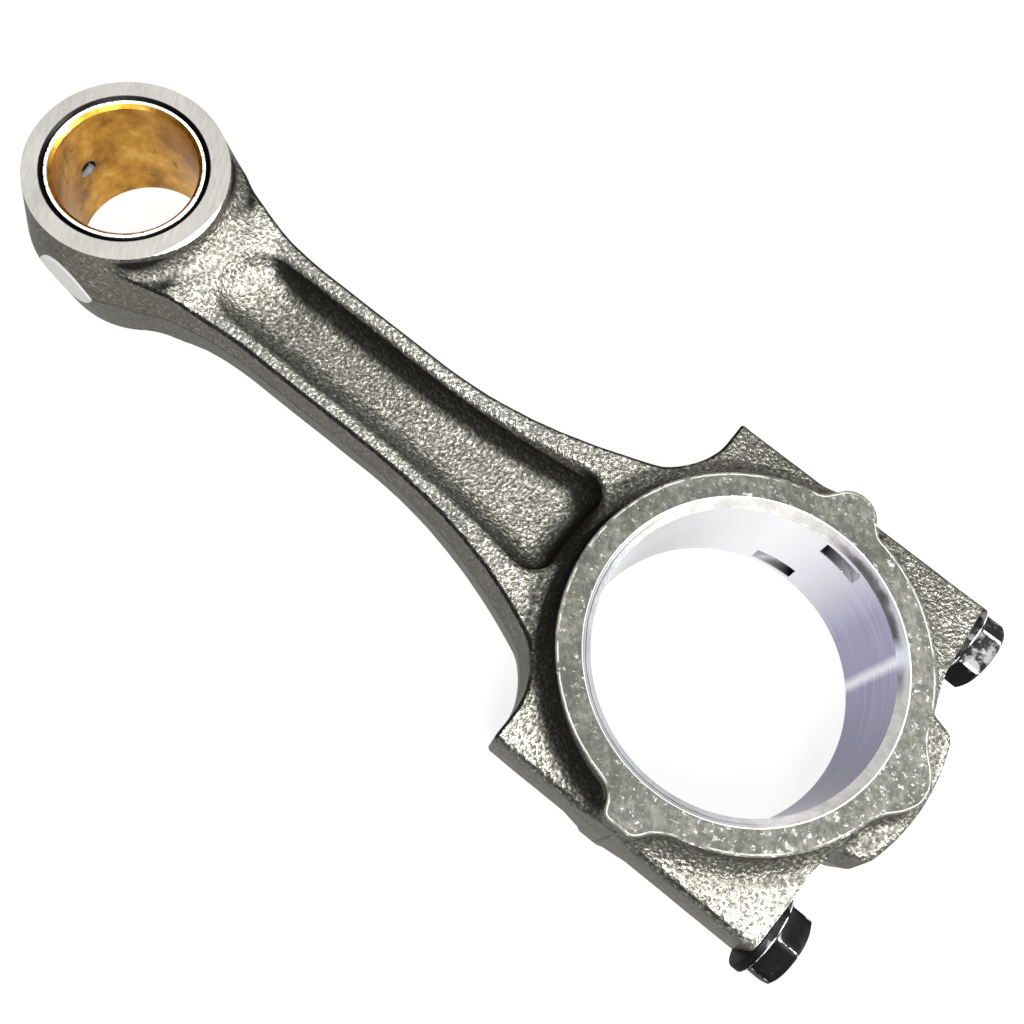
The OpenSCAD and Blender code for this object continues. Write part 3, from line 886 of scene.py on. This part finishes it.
def pale_floor():
    """White paper with a very faint grain, lit from within so that it stays white."""
    f = Finish("floor_paper")
    grain = f.noise(6, 3.0, 0.5)
    f.set(Base_Color=f.ramp(grain, [(0.3, (0.05, 0.05, 0.05)), (0.7, (0.06, 0.06, 0.06))]),
          Roughness=0.9, Normal=f.bump(grain, 0.05, 0.3),
          Emission_Color=(1, 1, 1, 1), Emission_Strength=0.88)
    return f.material


# ---------------------------------------------------------------- pieces

def dress(piece, node, body, material):
    """Puts a piece in the place of a CAD node, on its body, with its finish."""
    piece.data.materials.append(material)
    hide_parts(node)
    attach(piece, body)


COARSER = 1.0
ROD_CELL, CAP_CELL, BUSH_CELL = 0.58 * COARSER, 0.48 * COARSER, 0.4 * COARSER
Y_SPAN, Z_SPAN = (-37.9, 37.7), (-14, 14)
THIN_WALL = (34.4, 0.22)    # finer cells past this |y|, for the thin walls beside the bolts
rod = contour("rod", rod_field, [grade(-0.73, 156.1, ROD_CELL),
                                 grade(*Y_SPAN, ROD_CELL, fine=THIN_WALL),
                                 grade(*Z_SPAN, ROD_CELL, fine=(12.35, 0.31))], rod_blank)
cap = contour("cap", cap_field, [grade(-39.1, 0.61, CAP_CELL),
                                 grade(*Y_SPAN, CAP_CELL, fine=THIN_WALL),
                                 grade(*Z_SPAN, CAP_CELL, fine=(11.45, 0.37))], cap_blank)
bush = contour("bush", bush_field, [grade(119.6, 150.3, BUSH_CELL),
                                    grade(-15.1, 15.2, BUSH_CELL),
                                    grade(*Z_SPAN, BUSH_CELL, fine=(11.97, 0.27))])
steel, bronze, oxide = forged_steel(), bush_bronze(), black_oxide()
dress(rod, "rod_forging", "rod", steel)
dress(cap, "big_end_cap", "cap", steel)
dress(bush, "small_end_bush", "rod", bronze)
for node, side, turn in (("cap_bolt_flat_side", 1, -4), ("cap_bolt_tang_side", -1, 13)):
    body = node.replace("cap_bolt", "bolt")
    dress(cap_bolt(body, side, turn), node, body, oxide)

# ---------------------------------------------------------------- stage

FLOOR_HALF = 2.0
floor_z = cad_box[0][2]     # the part lies on its lowest face
corners = [(-1, -1), (1, -1), (1, 1), (-1, 1)]
mesh = bpy.data.meshes.new("floor")
mesh.from_pydata([(u * FLOOR_HALF, v * FLOOR_HALF, floor_z) for u, v in corners], [],
                 [(0, 1, 2, 3)])
mesh.materials.append(pale_floor())
place("floor", mesh)

world = bpy.data.worlds.new("studio")
world.use_nodes = True
world.node_tree.nodes["Background"].inputs["Color"].default_value = (1, 1, 1, 1)
world.node_tree.nodes["Background"].inputs["Strength"].default_value = 0.05
bpy.context.scene.world = world


def softbox(name, spot, aim, size, power):
    """An area light at spot, turned towards aim; all in metres and watts."""
    light = bpy.data.lights.new(name, "AREA")
    light.size, light.energy = size, power
    obj = place(name, light)
    obj.location = spot
    obj.rotation_euler = (Vector(aim) - Vector(spot)).to_track_quat("-Z", "Y").to_euler()


softbox("key", (-0.14, 0.28, 0.58), (0.0, 0, 0), 0.20, 11.0)
softbox("scoop_light", (-0.10, -0.22, 0.60), (0.06, 0, 0), 0.10, 4.0)
softbox("low_light", (-0.46, -0.28, 0.30), (0.06, 0, 0), 0.24, 9.0)
softbox("fill", (0.43, -0.20, 0.50), (0.10, 0, 0), 0.26, 0.9)

lens = bpy.data.cameras.new("camera")
lens.sensor_width = 36
lens.lens = 43.88
lens.clip_start, lens.clip_end = 0.01, 10
camera = place("camera", lens)
right = (-0.7804, -0.6163, 0.1056)
down = (-0.6151, 0.7260, -0.3076)
ahead = (0.1129, -0.3050, -0.9457)
attitude = Matrix([[right[k], -down[k], -ahead[k]] for k in range(3)])
camera.rotation_mode = "QUATERNION"
camera.rotation_quaternion = attitude.to_quaternion()
camera.location = (0.0213, 0.0681, 0.2070)
bpy.context.scene.camera = camera
bpy.context.scene.view_settings.view_transform = "Standard"
